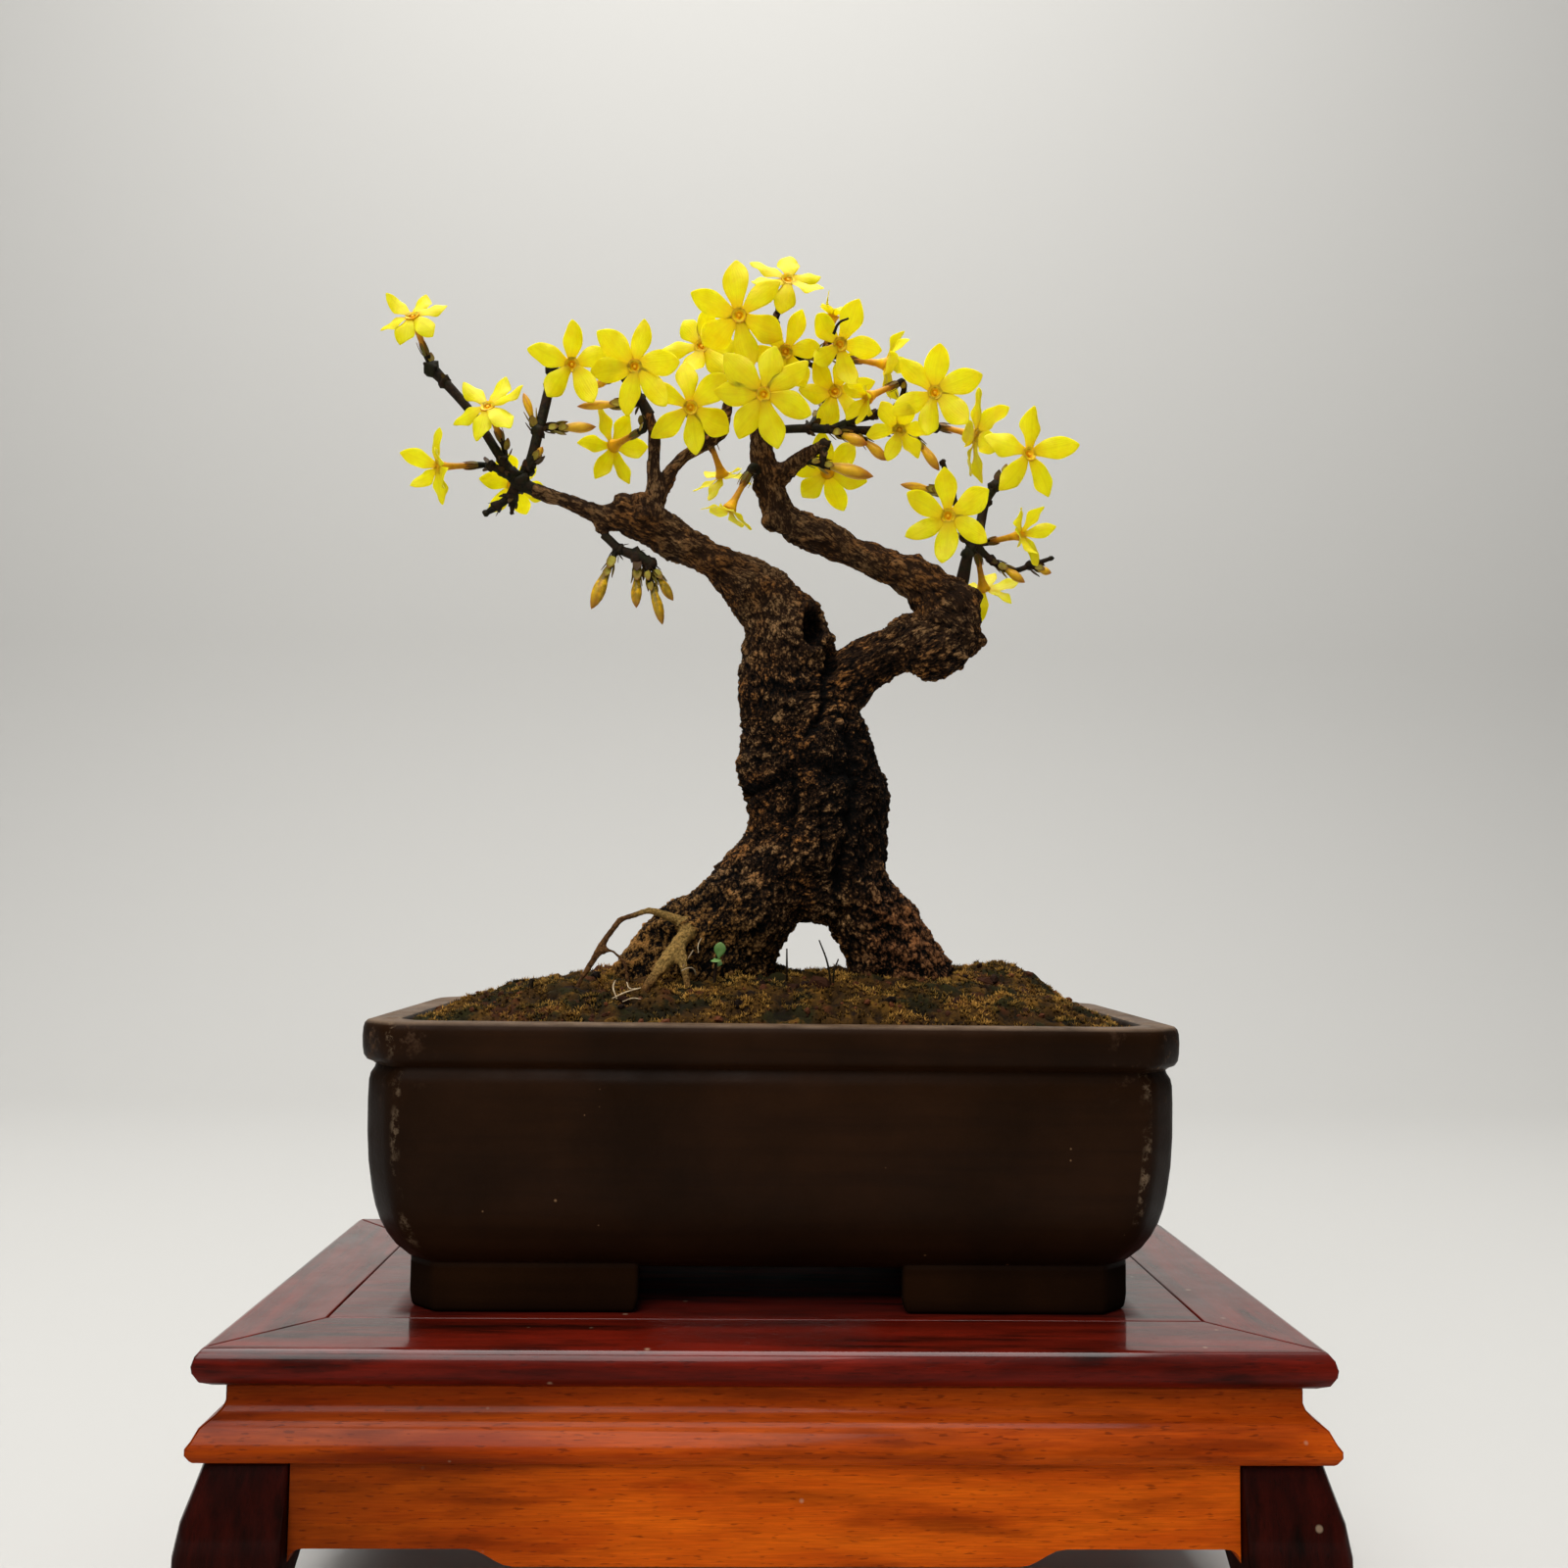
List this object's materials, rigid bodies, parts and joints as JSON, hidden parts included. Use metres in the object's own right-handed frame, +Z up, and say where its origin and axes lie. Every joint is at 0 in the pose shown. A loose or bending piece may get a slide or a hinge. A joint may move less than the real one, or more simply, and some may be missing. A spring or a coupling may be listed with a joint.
{
  "type": "winter jasmine bonsai",
  "caption": "Old winter jasmine bonsai with yellow blooms on leafless shoots, in a rectangular brown stoneware pot on a low hardwood stand.",
  "frame": {"origin": "on the ground under the middle of the stand: the centre of the bottom of the bounding box", "axes": "+Z up, +X to the right seen from the front, +Y from the front of the stand to its back"},
  "size_m": [0.2592, 0.1528, 0.3628],
  "materials": {
    "rosewood": "gloss",
    "redwood": "satin",
    "stoneware": "satin",
    "moss": "matte",
    "bark": "matte",
    "shoot": "matte",
    "leaf": "matte",
    "petal": "satin"
  },
  "bodies": {
    "root": {"top_frame_front": "rosewood", "top_frame_back": "rosewood", "top_frame_left": "rosewood", "top_frame_right": "rosewood", "top_panel": "rosewood", "panel_batten": "redwood", "waist_moulding_front": "redwood", "waist_moulding_back": "redwood", "waist_moulding_left": "redwood", "waist_moulding_right": "redwood", "apron_front": "redwood", "apron_back": "redwood", "apron_left": "redwood", "apron_right": "redwood", "leg_front_left": "rosewood", "leg_front_right": "rosewood", "leg_back_left": "rosewood", "leg_back_right": "rosewood", "pot": "stoneware", "mossy_soil": "moss", "seedling": "leaf", "trunk": "bark", "shoot_left_tip": "shoot", "shoot_hanging_buds": "shoot", "shoot_crown_left": "shoot", "shoot_crown_middle_left": "shoot", "shoot_crown_middle": "shoot", "shoot_right_twig": "shoot", "shoot_right_end": "shoot", "bloom_left_top": "petal", "bloom_left_upper": "petal", "bloom_left_outer": "petal", "bloom_left_back": "petal", "bloom_left_crown": "petal", "bloom_crown_left_front": "petal", "bloom_crown_left_back": "petal", "bloom_crown_front_left": "petal", "bloom_crown_high": "petal", "bloom_crown_behind": "petal", "bloom_crown_top": "petal", "bloom_crown_centre": "petal", "bloom_crown_front": "petal", "bloom_crown_right_front": "petal", "bloom_crown_right_low": "petal", "bloom_crown_half_open": "petal", "bloom_crown_right_edge": "petal", "bloom_right_twig_top": "petal", "bloom_right_twig_end": "petal", "bloom_right_twig_low": "petal", "bloom_right_twig_left": "petal", "bloom_middle_back": "petal", "bloom_middle_hanging": "petal", "bloom_middle_low": "petal", "bloom_right_end_top": "petal", "bloom_right_end_front": "petal", "bloom_right_end_half_open": "petal", "bloom_right_end_hanging": "petal"}
  },
  "joints": []
}
